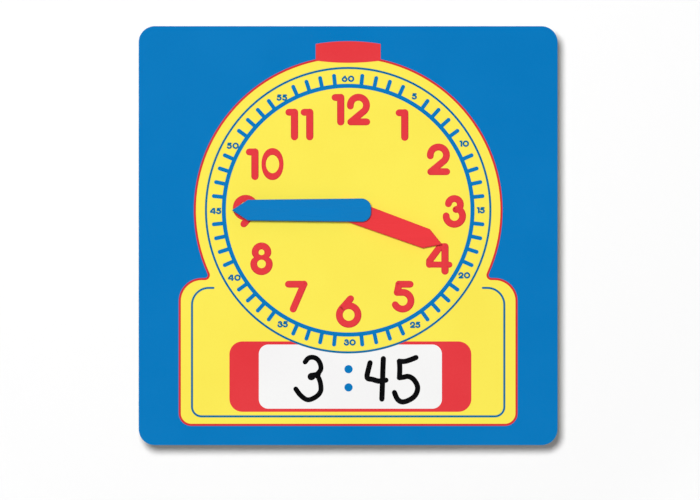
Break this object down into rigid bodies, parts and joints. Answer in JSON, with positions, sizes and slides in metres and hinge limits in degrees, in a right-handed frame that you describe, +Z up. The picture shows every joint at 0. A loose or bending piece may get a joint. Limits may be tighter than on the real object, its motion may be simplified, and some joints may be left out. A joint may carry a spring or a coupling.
{
  "type": "geared teaching clock",
  "caption": "Square clock board with a printed dial and a writing window; hands on the front are linked by a hidden rear gearbox, so the hour hand follows the minute hand.",
  "frame": {"origin": "where the hands' axis meets the flat rear face of the gearbox", "axes": "+Z up, towards twelve o'clock; +X towards three o'clock, right as seen from the front; the dial faces -Y and +Y points out of the back"},
  "size_m": [0.1142, 0.0148, 0.1143],
  "materials": {
    "board_face": "printed blue sheet under a glossy write-and-wipe film",
    "board_core": "plain white board core, matt at its edge",
    "board_back": "plain white laminate",
    "red_ink": "red print under a glossy film",
    "yellow_ink": "yellow print under a glossy film",
    "white_ink": "white writing panel under a glossy film",
    "dial_ink": "blue print under a glossy film",
    "line_ink": "dark blue-green print under a glossy film",
    "blue_hand": "moulded blue plastic",
    "red_hand": "moulded red plastic",
    "housing": "moulded white plastic, fine texture",
    "gear_plastic": "natural white moulded plastic",
    "foam": "closed-cell foam tape",
    "screw_steel": "zinc-plated steel",
    "washer_steel": "spring steel",
    "washer_fibre": "fibre"
  },
  "bodies": {
    "clock_body": {"back_sheet": "board_back", "board_core": "board_core", "face_sheet": "board_face", "outline_print": "red_ink", "clock_print": "yellow_ink", "cap_print": "red_ink", "minute_ring_print": "dial_ink", "number_ring_print": "line_ink", "foot_line_print": "line_ink", "window_frame_print": "red_ink", "window_panel_print": "white_ink", "colon_print": "dial_ink", "adhesive_pad": "foam", "gearbox_base": "housing", "gearbox_cover": "housing", "cover_screws": "screw_steel", "friction_washer": "washer_steel", "thrust_washer": "washer_fibre"},
    "minute_train": {"minute_arbor": "gear_plastic", "minute_hand": "blue_hand"},
    "idler_train": {"idler_gear": "gear_plastic"},
    "hour_train": {"hour_wheel": "gear_plastic", "hour_hand": "red_hand"}
  },
  "joints": [
    {"name": "minute_turn", "type": "hinge", "parent": "clock_body", "child": "minute_train", "pos_m": [0, 0, 0], "axis": [0, 1, 0], "continuous": true},
    {"name": "idler_turn", "type": "hinge", "parent": "clock_body", "child": "idler_train", "pos_m": [0, 0, -0.016], "axis": [0, 1, 0], "continuous": true},
    {"name": "hour_turn", "type": "hinge", "parent": "clock_body", "child": "hour_train", "pos_m": [0, 0, 0], "axis": [0, 1, 0], "continuous": true}
  ],
  "couplings": [
    {"joint": "idler_turn", "follows": "minute_turn", "ratio": -0.33333},
    {"joint": "hour_turn", "follows": "minute_turn", "ratio": 0.083333}
  ]
}
